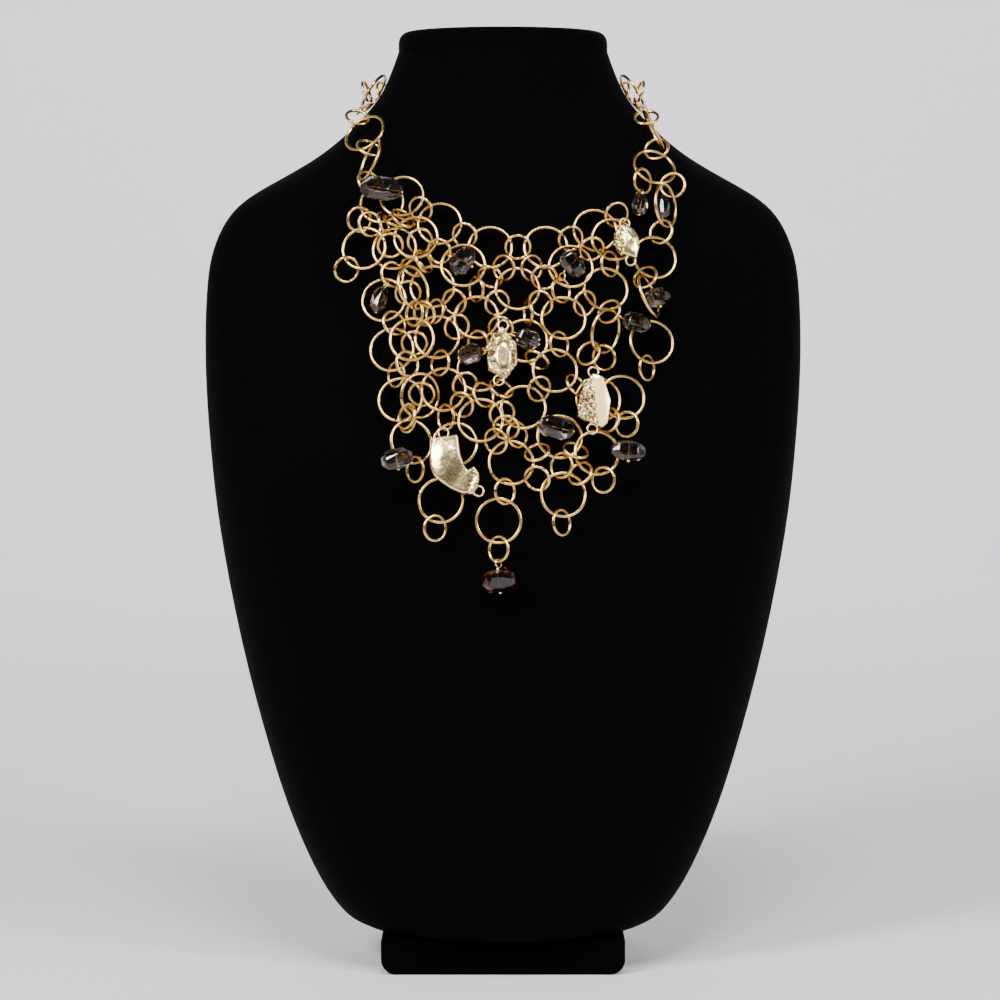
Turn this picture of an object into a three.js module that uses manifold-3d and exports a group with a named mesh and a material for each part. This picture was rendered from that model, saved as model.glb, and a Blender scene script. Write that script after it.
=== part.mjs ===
import * as THREE from 'three';
import { mergeVertices } from 'three/addons/utils/BufferGeometryUtils.js';
import Module from 'manifold-3d';

// A bib necklace: a net of gold jump rings, hung with gold nuggets and smoky stones, laid over a
// padded velvet neck bust. Millimetres, +Z up, the chest faces -Y, and the origin is at the middle
// of the foot's underside.

// ---- Driving dimensions ----

const SEAM = 0.3;                // gap left between pieces that touch
const WIRE = 0.75;               // radius of the jump rings' wire
const BIG = 10;                  // big jump ring, radius to the middle of the wire
const SMALL = 5.7;               // small jump ring, radius to the middle of the wire
const HOVER = 5;                 // height of the big rings above the velvet, held up by the small ones
const WIRE_GAP = 1.82;           // least distance between the middles of two wires
const REACH = 29.5;              // two big rings this far apart can still share a small one
const CROWD = 17;                // big rings closer than this overlap and need no link
const NECKLINE = 414;            // height of the chain round the back of the neck
const BACK_START = 99;           // degrees round the neck from the front to the chain's first big ring
const BACK_STEP = 26.2;          // from one big ring of the chain to the next, close enough to share a link

const FOOT = { halfWidth: 57.5, halfDepth: 45, height: 17, corner: 7 };
const CAP = { halfWidth: 50.3, halfDepth: 39.8, middle: 21, bottom: 435.8, top: 447, edge: 7 };

// The bust's level sections: half its width, where its widest line lies, and its front and back.
const BUST = [
  { z: 17.3, half: 66, middle: -4, front: -50, back: 41 },
  { z: 20, half: 72.5, middle: -4, front: -56, back: 43 },
  { z: 24, half: 78, middle: -4, front: -61, back: 44 },
  { z: 38, half: 88.5, middle: -4, front: -69, back: 46 },
  { z: 67, half: 101.5, middle: -4, front: -77, back: 49 },
  { z: 97, half: 111.5, middle: -4, front: -83, back: 52 },
  { z: 153, half: 126.5, middle: -4, front: -89, back: 55 },
  { z: 211, half: 137, middle: -3, front: -90, back: 57 },
  { z: 240, half: 140, middle: -2, front: -83.5, back: 58 },
  { z: 269, half: 142.5, middle: 0, front: -73, back: 59 },
  { z: 298, half: 143.5, middle: 2, front: -63, back: 60 },
  { z: 327, half: 142.5, middle: 5, front: -52, back: 61 },
  { z: 341, half: 140, middle: 7, front: -46.5, back: 61.5 },
  { z: 355, half: 134, middle: 9, front: -41, back: 62 },
  { z: 365, half: 125, middle: 11, front: -36.5, back: 62 },
  { z: 375, half: 107, middle: 14, front: -31.5, back: 62 },
  { z: 384, half: 91, middle: 16, front: -27.5, back: 62 },
  { z: 394, half: 78, middle: 18, front: -24, back: 61.5 },
  { z: 408, half: 64, middle: 20, front: -20.5, back: 61 },
  { z: 418, half: 57, middle: 21, front: -19.5, back: 61 },
  { z: 435.5, half: 50.5, middle: 21, front: -19, back: 61 },
];

// The net, strand by strand: where each big ring's middle lies on the bust, across and up. A ring
// that doesn't lie flat stands up by `tilt` degrees about a line `axis` degrees from level.
const STRANDS = [
  { name: 'shoulder_left', x: [-63, -60, -55.5], z: [392.5, 377, 360], tilt: [0, -48, 0], axis: [0, 90, 0] },
  { name: 'shoulder_right', x: [67, 69.5, 73.5], z: [392, 376, 357], tilt: [45, 0, 48], axis: [90, 0, 75] },
  { name: 'row_1_left', x: [-46, -29, -6], z: [362, 350.5, 339.5] },
  { name: 'row_1_right', x: [19.5, 42], z: [339.5, 347.5] },
  { name: 'row_2_left', x: [-39.5, -18, 6.5], z: [343.5, 330.5, 320.5] },
  { name: 'row_2_right', x: [30.5, 50], z: [330, 342.5] },
  { name: 'row_3_left', x: [-49.5, -32, -12, 10], z: [339, 321.5, 307.5, 297] },
  { name: 'row_3_right', x: [27, 46.5, 69], z: [306.5, 320.5, 335] },
  { name: 'row_4_left', x: [-63, -54, -39.5, -29.5, -10.5, 9, 23], z: [338.5, 315.5, 318, 298, 284, 267, 283],
    tilt: [0, 0, 55, 0, 0, 0, 0], axis: [0, 0, 95, 0, 0, 0, 0] },
  { name: 'row_4_right', x: [45.5, 65, 67], z: [300, 316, 296.5], tilt: [50, 55, 0], axis: [60, 105, 0] },
  { name: 'row_5_left', x: [-50, -40.5, -26.5, -10, 3.5], z: [293, 296.5, 274.5, 260.5, 242.5] },
  { name: 'row_5_right', x: [25, 42.5, 53], z: [253.5, 270.5, 271] },
  { name: 'row_6_left', x: [-46, -40.5], z: [270.5, 251], tilt: [0, 35], axis: [0, 90] },
  { name: 'point_left', x: [-36.5, -21.5, -27.5], z: [271, 250.5, 226], tilt: [45, 0, 0], axis: [70, 0, 0] },
  { name: 'point_middle', x: [-2], z: [217.5] },
  { name: 'point_right', x: [26.5], z: [228.5] },
  { name: 'point_outer', x: [41], z: [246] },
];

// Small rings that hang free from a big one: which ring of which strand, and the direction in
// which they hang, in degrees from straight down towards +X.
const LOOSE = [
  { strand: 'row_4_left', ring: 0, swing: -35 },
  { strand: 'row_4_right', ring: 2, swing: -15 },
  { strand: 'point_left', ring: 2, swing: -10 },
  { strand: 'point_middle', ring: 0, swing: 0 },
  { strand: 'point_right', ring: 0, swing: -5 },
  { strand: 'point_outer', ring: 0, swing: 10 },
  { strand: 'row_6_left', ring: 1, swing: 15 },
  { strand: 'row_3_right', ring: 2, swing: -20 },
  { strand: 'row_5_right', ring: 2, swing: -35 },
  { strand: 'row_5_right', ring: 2, swing: 5 },
  { strand: 'shoulder_left', ring: 2, swing: -35 },
  { strand: 'shoulder_left', ring: 2, swing: -5 },
  { strand: 'row_1_left', ring: 0, swing: -25 },
  { strand: 'row_1_left', ring: 0, swing: 10 },
  { strand: 'shoulder_right', ring: 1, swing: -30 },
  { strand: 'shoulder_right', ring: 1, swing: 0 },
  { strand: 'shoulder_right', ring: 1, swing: 30 },
  { strand: 'row_1_right', ring: 1, swing: 120 },
  { strand: 'row_2_right', ring: 1, swing: 175 },
  { strand: 'row_2_right', ring: 1, swing: 140 },
  { strand: 'row_4_right', ring: 0, swing: -20 },
  { strand: 'row_4_right', ring: 0, swing: 20 },
  { strand: 'row_3_left', ring: 0, swing: 20 },
  { strand: 'row_5_left', ring: 1, swing: -20 },
  { strand: 'row_5_left', ring: 3, swing: 60 },
];

// Faceted stones: place on the bust, half sizes along, across and deep, and the way the long side points.
const STONES = [
  { x: -54, z: 362, half: [9.8, 6.4, 5.4], turn: -8 },
  { x: -18, z: 331, half: [6.8, 5.8, 4.4], turn: 60 },
  { x: 31, z: 330, half: [6.6, 5.6, 4.4], turn: -50 },
  { x: 62.5, z: 359, half: [5.2, 4.2, 4], turn: 80 },
  { x: 73, z: 358, half: [5.6, 4, 3.6], turn: 85 },
  { x: -56, z: 315.5, half: [6.2, 4.4, 4], turn: 80 },
  { x: -14.5, z: 289.5, half: [5.6, 5.2, 4.4], turn: 20 },
  { x: 11, z: 297.5, half: [5.6, 5.2, 4.4], turn: -25 },
  { x: 69, z: 315.5, half: [6, 5, 4.6], turn: 15 },
  { x: 59, z: 303.5, half: [6.2, 5.2, 4.6], turn: -15 },
  { x: 23, z: 256, half: [8, 5.8, 4.8], turn: -12 },
  { x: 53.5, z: 245.5, half: [7.8, 5, 4.4], turn: -6 },
  { x: -44.5, z: 241.5, half: [7, 5.6, 4.8], turn: 12 },
  { x: -2, z: 191.5, half: [7.4, 6.4, 6], turn: 8 },
];

// Flat nuggets: place on the bust, half sizes, and where the two wire loops that they hang by are,
// from their middles. Their outlines are drawn below.
const NUGGETS = [
  { name: 'nugget_half_moon', x: 55, z: 340, half: [6, 8.3], topLoop: [0, 9.3], footLoop: [1.5, -9.3] },
  { name: 'nugget_hexagon', x: -0.5, z: 289.5, half: [7, 12], topLoop: [0.5, 13.2], footLoop: [-1.5, -13] },
  { name: 'nugget_facet', x: 39.5, z: 268, half: [8, 12.6], topLoop: [0.5, 13.8], footLoop: [-1.5, -13.2] },
  { name: 'nugget_boot', x: -21, z: 240.5, half: [11.6, 13.8], topLoop: [-5.5, 14.8], footLoop: [11.2, -12] },
];
const NUGGET_DEPTH = 3.2;
const NUGGET_BEVEL = 0.7;
const BAIL = { radius: 2.4, wire: 0.6 };

// The flat oval links that end the shoulder chains, and the plain clasp, by their outer sizes.
const OVAL = { halfLength: 8, halfWidth: 4.3, bar: 1.5, thickness: 1.3, hover: 5 };
const CLASP = { halfLength: 12, halfWidth: 4.8, bar: 1.9, thickness: 1.5, hover: 5 };

// ---- Materials ----

const velvet = new THREE.MeshStandardMaterial({ color: 0x08080a, roughness: 0.95, metalness: 0 });
const ringGold = new THREE.MeshStandardMaterial({ color: 0xc08f4a, roughness: 0.35, metalness: 1 });
const nuggetGold = new THREE.MeshStandardMaterial({ color: 0xd9c48e, roughness: 0.3, metalness: 1 });
const smokyStone = new THREE.MeshStandardMaterial({ color: 0x3a2f2c, roughness: 0.08, metalness: 0 });

// ---- The bust's skin, as a function ----

// One column of the section table at any height, along a smooth curve through its rows.
function column(key, z) {
  const last = BUST.length - 1;
  if (z <= BUST[0].z) return BUST[0][key];
  if (z >= BUST[last].z) return BUST[last][key];
  const row = BUST.findIndex((section) => section.z > z) - 1;
  const slope = (i) => {
    const before = BUST[Math.max(i - 1, 0)];
    const after = BUST[Math.min(i + 1, last)];
    return (after[key] - before[key]) / (after.z - before.z);
  };
  const low = BUST[row];
  const high = BUST[row + 1];
  const height = high.z - low.z;
  const t = (z - low.z) / height;
  return (2 * t ** 3 - 3 * t * t + 1) * low[key] + (t ** 3 - 2 * t * t + t) * height * slope(row)
    + (3 * t * t - 2 * t ** 3) * high[key] + (t ** 3 - t * t) * height * slope(row + 1);
}

// A point of the skin: `around` is 0 at the middle of the chest and 90 degrees at the side on +X.
function skinPoint(around, z) {
  const middle = column('middle', z);
  const reach = Math.cos(around) > 0 ? middle - column('front', z) : column('back', z) - middle;
  return new THREE.Vector3(column('half', z) * Math.sin(around), middle - reach * Math.cos(around), z);
}

// Where x across the chest lies round the section at height z.
function aroundAt(x, z) {
  return Math.asin(THREE.MathUtils.clamp(x / column('half', z), -0.99, 0.99));
}

// 1 on the skin, less inside it and more outside it.
function skinRatio(x, y, z) {
  const middle = column('middle', z);
  const reach = y < middle ? middle - column('front', z) : column('back', z) - middle;
  return Math.hypot(x / column('half', z), (y - middle) / reach);
}

function skinGradient(p) {
  const e = 0.5;
  return new THREE.Vector3(
    skinRatio(p.x + e, p.y, p.z) - skinRatio(p.x - e, p.y, p.z),
    skinRatio(p.x, p.y + e, p.z) - skinRatio(p.x, p.y - e, p.z),
    skinRatio(p.x, p.y, p.z + e) - skinRatio(p.x, p.y, p.z - e),
  ).divideScalar(2 * e);
}

// Distance of a point from the skin, measured outwards.
function offVelvet(p) {
  return (skinRatio(p.x, p.y, p.z) - 1) / skinGradient(p).length();
}

// Right, up and outward directions for something that lies on the skin.
function skinFrame(around, z) {
  const base = skinPoint(around, z);
  const out = skinGradient(base).normalize();
  const right = new THREE.Vector3(0, 0, 1).cross(out).normalize();
  const up = out.clone().cross(right);
  return { base, right, up, out };
}

// ---- Rings as circles in space ----

const radians = THREE.MathUtils.degToRad;

function ringPoints(ring, count) {
  const side = Math.abs(ring.normal.z) < 0.9 ? new THREE.Vector3(0, 0, 1) : new THREE.Vector3(1, 0, 0);
  const u = side.cross(ring.normal).normalize();
  const v = ring.normal.clone().cross(u);
  return Array.from({ length: count }, (_, i) => {
    const angle = (i / count) * 2 * Math.PI;
    return ring.centre.clone()
      .addScaledVector(u, ring.radius * Math.cos(angle))
      .addScaledVector(v, ring.radius * Math.sin(angle));
  });
}

function distanceToRing(p, ring) {
  const arm = p.clone().sub(ring.centre);
  const height = arm.dot(ring.normal);
  const flat = arm.addScaledVector(ring.normal, -height).length();
  return Math.hypot(height, flat - ring.radius);
}

// A bead or nugget counts as a box with well rounded corners.
function insideBead(p, bead, margin) {
  const arm = p.clone().sub(bead.centre);
  const across = arm.dot(bead.along) / (bead.half[0] + margin);
  const upward = arm.dot(bead.side) / (bead.half[1] + margin);
  const outward = arm.dot(bead.out) / (bead.half[2] + margin);
  return across ** 4 + upward ** 4 + outward ** 4 < 1;
}

// True when a ring's wire keeps off the velvet, the beads and every other ring.
function isClear(ring, rings, beads) {
  const points = ringPoints(ring, 30);
  const near = rings.filter((other) => other.centre.distanceTo(ring.centre)
    < other.radius + ring.radius + WIRE_GAP);
  if (near.some((other) => points.some((p) => distanceToRing(p, other) < WIRE_GAP))) return false;
  if (beads.some((bead) => points.some((p) => insideBead(p, bead, WIRE + 2 * SEAM)))) return false;
  return points.every((p) => offVelvet(p) > WIRE + SEAM);
}

// True when the small ring's wire passes once through the big ring.
function threads(small, big) {
  const points = ringPoints(small, 30);
  const height = (p) => p.clone().sub(big.centre).dot(big.normal);
  let crossings = 0;
  points.forEach((p, i) => {
    const next = points[(i + 1) % points.length];
    const here = height(p);
    const there = height(next);
    if ((here > 0) === (there > 0)) return;
    const cross = p.clone().lerp(next, here / (here - there));
    if (cross.distanceTo(big.centre) < big.radius) crossings += 1;
  });
  return crossings === 1;
}

// ---- Laying out the necklace ----

const rings = [];                // every ring: centre, normal, radius, and the strand it belongs to
const beads = [];                // stones and nuggets
const solders = [];              // short bridges that join the rings of one strand

// A big ring laid on the skin, raised until it clears the rings that are already there.
function layRing(strand, around, z, tilt, axis) {
  const { base, right, up, out } = skinFrame(around, z);
  const hinge = right.multiplyScalar(Math.cos(radians(axis))).addScaledVector(up, Math.sin(radians(axis)));
  const normal = out.clone().applyAxisAngle(hinge.normalize(), radians(tilt));
  const ring = { centre: base.clone(), normal, radius: BIG, strand, out };
  for (let height = HOVER; height < 6 * HOVER; height += 0.4) {
    ring.centre.copy(base).addScaledVector(out, height);
    if (isClear(ring, rings, [])) break;
  }
  rings.push(ring);
  return ring;
}

const strands = STRANDS.map(({ name, x, z, tilt = [], axis = [] }) => ({
  name,
  rings: x.map((across, i) => layRing(name, aroundAt(across, z[i]), z[i], tilt[i] ?? 0, axis[i] ?? 0)),
}));

// An oval link laid on the skin from one place to another. Each of its ends counts as a ring.
function layOval(name, size, from, to) {
  const tail = skinPoint(radians(from.around), from.z);
  const tip = skinPoint(radians(to.around), to.z);
  const centre = tail.clone().lerp(tip, 0.5);
  const out = skinGradient(centre).normalize();
  const along = tip.sub(tail).normalize();
  out.addScaledVector(along, -out.dot(along)).normalize();
  centre.addScaledVector(out, size.hover);
  const radius = size.halfWidth - size.bar / 2;
  const ends = [-1, 1].map((end) => ({
    centre: centre.clone().addScaledVector(along, end * (size.halfLength - size.halfWidth)),
    normal: out, radius, strand: name, out,
  }));
  rings.push(...ends);
  return { name, size, centre, along, side: out.clone().cross(along), out, ends };
}

const sides = [{ word: 'left', sign: -1 }, { word: 'right', sign: 1 }];
const ovals = sides.map(({ word, sign }) => layOval(`end_link_${word}`, OVAL,
  { around: sign * 80, z: 411 }, { around: sign * 67, z: 401 }));
const clasp = layOval('clasp', CLASP, { around: 174, z: NECKLINE }, { around: 186, z: NECKLINE });

// Where a big ring of the back chain is centred.
function overNeckline(around) {
  const { base, out } = skinFrame(around, NECKLINE);
  return base.addScaledVector(out, HOVER);
}

// The chain round the back of the neck: big rings a link apart, three on each side of the clasp.
const backChains = sides.map(({ word, sign }) => {
  const chain = { name: `back_chain_${word}`, rings: [] };
  let around = radians(BACK_START);
  for (let i = 0; i < 3; i += 1) {
    const ring = layRing(chain.name, sign * around, NECKLINE, 0, 0);
    chain.rings.push(ring);
    while (overNeckline(sign * around).distanceTo(ring.centre) < BACK_STEP) around += 0.01;
  }
  return chain;
});

// A bead laid in front of the rings, raised until no ring and no velvet touches it.
function layBead(name, x, z, size, turn, spare = 0) {
  const { base, right, up, out } = skinFrame(aroundAt(x, z), z);
  const along = right.clone().applyAxisAngle(out, radians(turn));
  const side = up.clone().applyAxisAngle(out, radians(turn));
  const half = [size[0], size[1] + spare, size[2]];
  const bead = { name, centre: base.clone(), along, side, out, size, half };
  const free = () => rings.every((ring) => ring.centre.distanceTo(bead.centre) > 40
    || ringPoints(ring, 60).every((p) => !insideBead(p, bead, WIRE + SEAM)))
    && beads.every((other) => !cornersOf(bead).some((p) => insideBead(p, other, SEAM))
      && !cornersOf(other).some((p) => insideBead(p, bead, SEAM)));
  for (let height = half[2] + 1.2; height < 30; height += 0.4) {
    bead.centre.copy(base).addScaledVector(out, height);
    if (free() && cornersOf(bead).every((p) => offVelvet(p) > SEAM)) break;
  }
  beads.push(bead);
  return bead;
}

// Points spread over a bead's surface, near enough to feel for its neighbours with.
function cornersOf(bead) {
  const steps = [-0.85, -0.4, 0, 0.4, 0.85];
  return steps.flatMap((a) => steps.flatMap((b) => steps.map((c) => bead.centre.clone()
    .addScaledVector(bead.along, a * bead.half[0])
    .addScaledVector(bead.side, b * bead.half[1])
    .addScaledVector(bead.out, c * bead.half[2]))));
}

const stones = STONES.map(({ x, z, half, turn }, i) => layBead(`stone_${i + 1}`, x, z, half, turn));
const nuggets = NUGGETS.map(({ name, x, z, half, topLoop, footLoop }) => {
  const size = [...half, NUGGET_DEPTH / 2 + NUGGET_BEVEL];
  const spare = topLoop[1] + BAIL.radius + BAIL.wire - half[1];
  return { ...layBead(name, x, z, size, 0, spare), loops: [topLoop, footLoop] };
});

// The rim point of one ring that is nearest to another place.
function rimTowards(ring, place) {
  const arm = place.clone().sub(ring.centre);
  arm.addScaledVector(ring.normal, -arm.dot(ring.normal)).normalize();
  return ring.centre.clone().addScaledVector(arm, ring.radius);
}

// The poses a small ring tries, half turned and least moved first.
const POSES = [41, -41, 34, -34, 48, -48, 27, -27, 58, -58, 75, -75, 90].flatMap((tilt) => [0, 20, -20]
  .flatMap((swing) => [0, 1.5, -1.5, 3, -3].flatMap((slide) => [0, 1, -1, 2, 3.5]
    .map((rise) => ({ tilt, swing, slide, rise })))));

// A small ring passed through the given big rings at `middle`. It lies back as flat as it can
// without touching anything, and stands up or slides aside where the net is crowded.
function hookRing(strand, through, middle, towards, out) {
  const level = out.clone().cross(towards).normalize();
  if (level.z < 0) level.negate();
  for (const { tilt, swing, slide, rise } of POSES) {
    const along = towards.clone().applyAxisAngle(out, radians(swing));
    const across = level.clone().applyAxisAngle(out, radians(swing));
    const centre = middle.clone().addScaledVector(across, slide).addScaledVector(out, rise);
    const spread = across.multiplyScalar(Math.cos(radians(tilt))).addScaledVector(out, Math.sin(radians(tilt)));
    const ring = { centre, normal: along.cross(spread).normalize(), radius: SMALL, strand, out };
    if (through.every((big) => threads(ring, big)) && isClear(ring, rings, beads)) {
      rings.push(ring);
      return ring;
    }
  }
  return null;
}

function linkRings(strand, a, b) {
  const onA = rimTowards(a, b.centre);
  const onB = rimTowards(b, a.centre);
  const along = b.centre.clone().sub(a.centre).normalize();
  const out = a.out.clone().add(b.out);
  out.addScaledVector(along, -out.dot(along)).normalize();
  return hookRing(strand, [a, b], onA.lerp(onB, 0.5), along, out);
}

// A bridge between two rings where their wires pass closest.
function solderTogether(a, b) {
  const start = ringPoints(a, 90).reduce((best, p) => (distanceToRing(p, b) < distanceToRing(best, b) ? p : best));
  const end = ringPoints(b, 90).reduce((best, p) => (p.distanceTo(start) < best.distanceTo(start) ? p : best));
  solders.push({ strand: a.strand, start, end });
}

// Along each strand: neighbours share a small ring, or are joined where they overlap.
for (const { rings: row, name } of [...strands, ...backChains]) {
  for (let i = 0; i + 1 < row.length; i += 1) {
    const link = row[i].centre.distanceTo(row[i + 1].centre) > CROWD ? linkRings(name, row[i], row[i + 1]) : null;
    if (link) {
      solderTogether(link, row[i]);
      solderTogether(link, row[i + 1]);
    } else {
      solderTogether(row[i], row[i + 1]);
    }
  }
}

// The shoulder chains hold the oval links, and the back chains join these to the clasp.
sides.forEach(({ word }, i) => {
  const shoulder = strands.find(({ name }) => name === `shoulder_${word}`);
  const joins = [
    [shoulder.rings[0], ovals[i].ends[1]],
    [backChains[i].rings[0], ovals[i].ends[0]],
    [backChains[i].rings[2], clasp.ends[1 - i]],
  ];
  for (const [ring, end] of joins) {
    const link = linkRings(ring.strand, ring, end);
    if (link) solderTogether(link, ring);
  }
});

// Between strands: every big ring takes hold of each earlier one within reach.
const bigs = strands.flatMap((strand) => strand.rings);
bigs.forEach((ring, i) => {
  for (const above of bigs.slice(0, i)) {
    const span = ring.centre.distanceTo(above.centre);
    if (above.strand === ring.strand || span < CROWD || span > REACH) continue;
    const link = linkRings(ring.strand, ring, above);
    if (link) solderTogether(link, ring);
  }
});

for (const { strand, ring, swing } of LOOSE) {
  const owner = strands.find(({ name }) => name === strand).rings[ring];
  const down = new THREE.Vector3(0, 0, -1).addScaledVector(owner.out, owner.out.z).normalize();
  const along = down.applyAxisAngle(owner.out, radians(swing));
  along.addScaledVector(owner.normal, -along.dot(owner.normal)).normalize();
  const middle = owner.centre.clone().addScaledVector(along, BIG + SMALL / 2);
  const link = hookRing(strand, [owner], middle, along, owner.out);
  if (link) solderTogether(link, owner);
}

// ---- Solids ----

const wasm = await Module();
wasm.setup();

function toSolid(geometry) {
  geometry.deleteAttribute('normal');
  geometry.deleteAttribute('uv');
  const merged = mergeVertices(geometry, 1e-4);
  return new wasm.Manifold(new wasm.Mesh({
    numProp: 3,
    vertProperties: new Float32Array(merged.attributes.position.array),
    triVerts: new Uint32Array(merged.index.array),
  }));
}

function toGeometry(solid) {
  const mesh = solid.getMesh();
  const geometry = new THREE.BufferGeometry();
  geometry.setAttribute('position', new THREE.BufferAttribute(mesh.vertProperties, mesh.numProp));
  geometry.setIndex(new THREE.BufferAttribute(mesh.triVerts, 1));
  return geometry;
}

const group = new THREE.Group();

function addPiece(name, geometry, material) {
  geometry.computeVertexNormals();
  const mesh = new THREE.Mesh(geometry, material);
  mesh.name = name;
  group.add(mesh);
}

// A closed skin over a stack of point loops, flat at both ends.
function loft(loops) {
  const sides = loops[0].length;
  const points = loops.flat();
  const faces = [];
  for (let row = 0; row + 1 < loops.length; row += 1) {
    for (let i = 0; i < sides; i += 1) {
      const a = row * sides + i;
      const b = row * sides + ((i + 1) % sides);
      faces.push(a, b, b + sides, a, b + sides, a + sides);
    }
  }
  for (const [row, flip] of [[0, true], [loops.length - 1, false]]) {
    const centre = points.length;
    const loop = loops[row];
    points.push(loop.reduce((sum, p) => sum.add(p), new THREE.Vector3()).divideScalar(sides));
    for (let i = 0; i < sides; i += 1) {
      const a = row * sides + i;
      const b = row * sides + ((i + 1) % sides);
      faces.push(...(flip ? [b, a, centre] : [a, b, centre]));
    }
  }
  const geometry = new THREE.BufferGeometry().setFromPoints(points);
  geometry.setIndex(faces);
  return geometry;
}

function torso() {
  const sides = 36;
  return loft(BUST.map(({ z }) => Array.from({ length: sides }, (_, i) => skinPoint((i / sides) * 2 * Math.PI, z))));
}

// A low block with its two lower long edges rounded.
function foot() {
  const { halfWidth, halfDepth, height, corner } = FOOT;
  const outline = new THREE.Shape();
  outline.moveTo(-halfWidth, height);
  outline.lineTo(-halfWidth, corner);
  outline.absarc(-halfWidth + corner, corner, corner, Math.PI, 1.5 * Math.PI, false);
  outline.absarc(halfWidth - corner, corner, corner, 1.5 * Math.PI, 2 * Math.PI, false);
  outline.lineTo(halfWidth, height);
  const geometry = new THREE.ExtrudeGeometry(outline, { depth: 2 * halfDepth, bevelEnabled: false, curveSegments: 5 });
  geometry.rotateX(Math.PI / 2);
  geometry.translate(0, halfDepth, 0);
  return geometry;
}

// The pad on the neck's top: flat below, a rounded edge and a slightly domed top.
function cap() {
  const { halfWidth, halfDepth, middle, bottom, top, edge } = CAP;
  const profile = [new THREE.Vector2(0, bottom), new THREE.Vector2(halfWidth, bottom)];
  for (let i = 0; i <= 4; i += 1) {
    const angle = (i / 4) * Math.PI / 2;
    const drop = (top - bottom) * 0.8;
    profile.push(new THREE.Vector2(halfWidth - edge * (1 - Math.cos(angle)), top - 1.5 - drop * (1 - Math.sin(angle))));
  }
  profile.push(new THREE.Vector2(0, top));
  const geometry = new THREE.LatheGeometry(profile, 32);
  geometry.rotateX(Math.PI / 2);
  geometry.scale(1, halfDepth / halfWidth, 1);
  geometry.translate(0, middle, 0);
  return geometry;
}

function placeOn(geometry, centre, xAxis, yAxis, zAxis) {
  const matrix = new THREE.Matrix4().makeBasis(xAxis, yAxis, zAxis).setPosition(centre);
  return geometry.applyMatrix4(matrix);
}

// A wire ring with straight sides, whose corners stand as far outside the true circle as its sides
// fall inside it.
function ringSolid(ring) {
  const [section, segments] = ring.radius === BIG ? [4, 12] : [3, 8];
  const balance = 1 / Math.cos(Math.PI / (2 * segments));
  const geometry = new THREE.TorusGeometry(ring.radius * balance, WIRE, section, segments);
  const [first] = ringPoints(ring, 1);
  const u = first.sub(ring.centre).normalize();
  const v = ring.normal.clone().cross(u);
  return toSolid(placeOn(geometry, ring.centre, u, v, ring.normal));
}

// A spindle whose tips lie in the middle of the two wires that it joins.
function solderSolid({ start, end }) {
  const axis = end.clone().sub(start);
  const geometry = new THREE.SphereGeometry(1, 3, 2);
  geometry.scale(WIRE, axis.length() / 2, WIRE);
  geometry.applyQuaternion(new THREE.Quaternion().setFromUnitVectors(new THREE.Vector3(0, 1, 0), axis.normalize()));
  const middle = start.clone().lerp(end, 0.5);
  geometry.translate(middle.x, middle.y, middle.z);
  return toSolid(geometry);
}

function strandSolid(name) {
  const wires = rings.filter((ring) => ring.strand === name).map(ringSolid);
  const joints = solders.filter((solder) => solder.strand === name).map(solderSolid);
  return [...wires, ...joints].reduce((whole, piece) => whole.add(piece));
}

// A faceted bead: a seven-sided barrel with cut ends and a slightly uneven girdle.
function stoneGeometry({ size, centre, along, side, out }, seed) {
  const sides = 7;
  const bands = [[-1, 0.45], [-0.62, 0.95], [0.45, 1], [1, 0.5]];
  const loops = bands.map(([end, girth], row) => Array.from({ length: sides }, (_, i) => {
    const angle = (i / sides) * 2 * Math.PI + row * 0.2;
    const uneven = girth * (0.93 + 0.07 * Math.sin(2.4 * i + 1.7 * seed + row));
    return new THREE.Vector3(end * size[0], uneven * size[1] * Math.cos(angle), uneven * size[2] * Math.sin(angle));
  }));
  return placeOn(loft(loops), centre, along, side, out);
}

// Outlines of the nuggets, drawn about their middles with the upright along +Y.
const OUTLINES = {
  nugget_half_moon(shape, [w, h]) {
    shape.moveTo(-w * 0.2, h);
    shape.bezierCurveTo(w * 1.2, h * 0.9, w * 1.2, -h * 0.4, w * 0.7, -h);
    shape.lineTo(-w * 0.45, -h * 0.75);
    shape.lineTo(-w, -h * 0.1);
    shape.lineTo(-w * 0.85, h * 0.6);
  },
  nugget_hexagon(shape, [w, h]) {
    shape.moveTo(0, h);
    shape.lineTo(w * 0.95, h * 0.35);
    shape.lineTo(w, -h * 0.45);
    shape.lineTo(w * 0.3, -h);
    shape.lineTo(-w * 0.9, -h * 0.7);
    shape.lineTo(-w, h * 0.2);
    shape.lineTo(-w * 0.6, h * 0.75);
  },
  nugget_facet(shape, [w, h]) {
    shape.moveTo(w * 0.05, h);
    shape.lineTo(w * 0.6, h * 0.9);
    shape.lineTo(w, h * 0.05);
    shape.lineTo(w * 0.7, -h * 0.85);
    shape.lineTo(w * 0.4, -h);
    shape.lineTo(-w * 0.1, -h * 0.85);
    shape.lineTo(-w, -h * 0.6);
    shape.lineTo(-w * 0.9, -h * 0.1);
    shape.lineTo(-w * 0.5, h * 0.75);
  },
  nugget_boot(shape, [w, h]) {
    shape.moveTo(-w * 0.85, h * 0.9);
    shape.lineTo(w * 0.05, h);
    shape.bezierCurveTo(w * 0.15, h * 0.45, w * 0.2, h * 0.05, w * 0.55, -h * 0.25);
    shape.lineTo(w * 0.8, -h * 0.12);
    shape.bezierCurveTo(w * 1.1, -h * 0.3, w * 1.05, -h * 0.75, w * 0.75, -h);
    shape.bezierCurveTo(w * 0.1, -h, -w * 0.35, -h * 0.7, -w * 0.8, -h * 0.35);
    shape.bezierCurveTo(-w * 1.05, 0, -w * 1.02, h * 0.5, -w * 0.85, h * 0.9);
  },
};

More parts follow.
